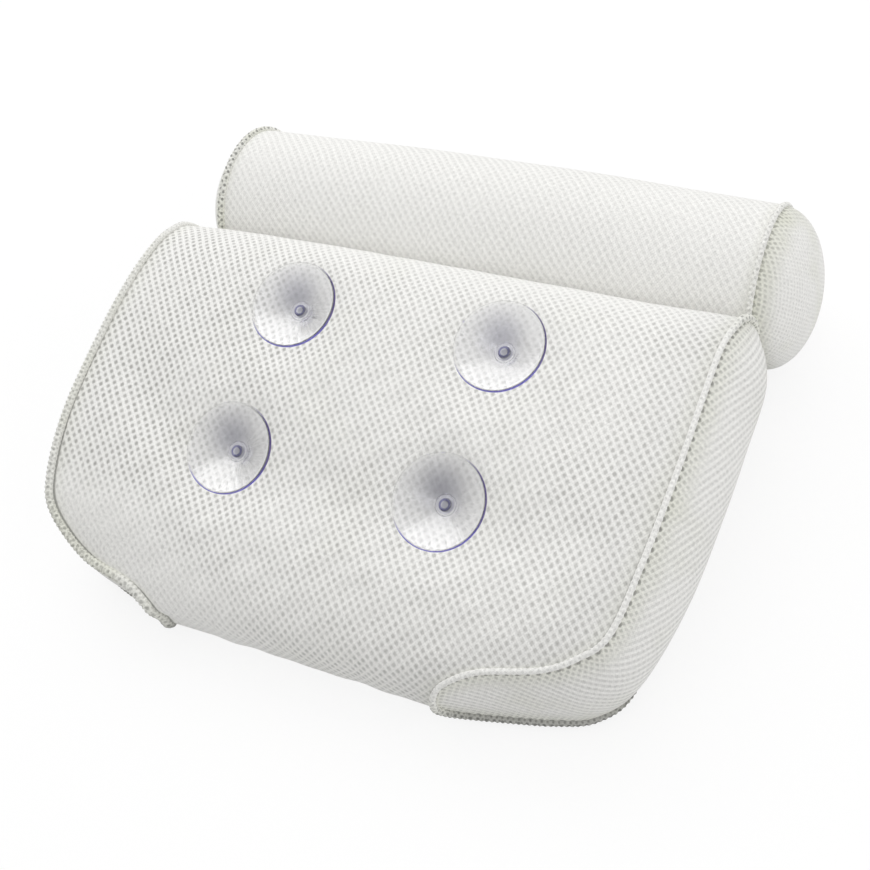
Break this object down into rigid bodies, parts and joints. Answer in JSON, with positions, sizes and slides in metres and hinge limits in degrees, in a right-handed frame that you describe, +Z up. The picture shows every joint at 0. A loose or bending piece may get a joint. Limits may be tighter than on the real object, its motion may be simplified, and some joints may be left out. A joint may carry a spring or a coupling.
{
  "type": "bath pillow",
  "caption": "Bath pillow: a padded back panel of white air mesh with a neck roll that folds along its top edge, held to the tub by clear suction cups on its back.",
  "frame": {"origin": "middle of the bounding box at the surface that the pillow lies on, face down with its cups up", "axes": "+X along the pillow's width and the roll, +Y from the pad's lower end to the roll, +Z up out of the cup side"},
  "size_m": [0.388, 0.3314, 0.1134],
  "materials": {
    "mesh": "white three-layer air mesh with staggered oval holes",
    "seam": "white mesh rolled and sewn into a ridge",
    "fill": "white polyester fibre",
    "clear_vinyl": "clear glossy soft vinyl with a violet rim",
    "washer_plastic": "white moulded plastic"
  },
  "bodies": {
    "pad": {"pad_cover": "mesh", "pad_filling": "fill", "pad_side_panel_left": "mesh", "pad_side_panel_right": "mesh", "pad_seam_left": "seam", "pad_seam_right": "seam", "fold_web": "seam", "cup_patch_1": "seam", "cup_patch_2": "seam", "cup_patch_3": "seam", "cup_patch_4": "seam"},
    "roll": {"roll_cover": "mesh", "roll_filling": "fill", "roll_end_left": "mesh", "roll_end_right": "mesh", "roll_seam_left": "seam", "roll_seam_right": "seam"},
    "cup_holder_1": {"retaining_washer_1": "washer_plastic"},
    "cup_1": {"suction_cup_1": "clear_vinyl"},
    "cup_holder_2": {"retaining_washer_2": "washer_plastic"},
    "cup_2": {"suction_cup_2": "clear_vinyl"},
    "cup_holder_3": {"retaining_washer_3": "washer_plastic"},
    "cup_3": {"suction_cup_3": "clear_vinyl"},
    "cup_holder_4": {"retaining_washer_4": "washer_plastic"},
    "cup_4": {"suction_cup_4": "clear_vinyl"}
  },
  "joints": [
    {"name": "roll_fold", "type": "hinge", "parent": "pad", "child": "roll", "pos_m": [0, 0.06985, 0.04204], "axis": [-1, 0, 0], "range_deg": [0, 100]},
    {"name": "cup_tilt_1", "type": "hinge", "parent": "pad", "child": "cup_holder_1", "pos_m": [-0.0618, -0.07923, 0.07404], "axis": [1, 0, 0], "range_deg": [-4, 4], "stiffness_Nm_per_rad": 0.05},
    {"name": "cup_spin_1", "type": "hinge", "parent": "cup_holder_1", "child": "cup_1", "pos_m": [-0.0618, -0.07984, 0.07541], "axis": [0, -0.402, 0.9157], "continuous": true},
    {"name": "cup_tilt_2", "type": "hinge", "parent": "pad", "child": "cup_holder_2", "pos_m": [0.0618, -0.07923, 0.07404], "axis": [1, 0, 0], "range_deg": [-4, 4], "stiffness_Nm_per_rad": 0.05},
    {"name": "cup_spin_2", "type": "hinge", "parent": "cup_holder_2", "child": "cup_2", "pos_m": [0.0618, -0.07984, 0.07541], "axis": [0, -0.402, 0.9157], "continuous": true},
    {"name": "cup_tilt_3", "type": "hinge", "parent": "pad", "child": "cup_holder_3", "pos_m": [-0.0618, 0.00643, 0.0902], "axis": [1, 0, 0], "range_deg": [-4, 4], "stiffness_Nm_per_rad": 0.05},
    {"name": "cup_spin_3", "type": "hinge", "parent": "cup_holder_3", "child": "cup_3", "pos_m": [-0.0618, 0.00594, 0.09162], "axis": [0, -0.3206, 0.9472], "continuous": true},
    {"name": "cup_tilt_4", "type": "hinge", "parent": "pad", "child": "cup_holder_4", "pos_m": [0.0618, 0.00643, 0.0902], "axis": [1, 0, 0], "range_deg": [-4, 4], "stiffness_Nm_per_rad": 0.05},
    {"name": "cup_spin_4", "type": "hinge", "parent": "cup_holder_4", "child": "cup_4", "pos_m": [0.0618, 0.00594, 0.09162], "axis": [0, -0.3206, 0.9472], "continuous": true}
  ]
}
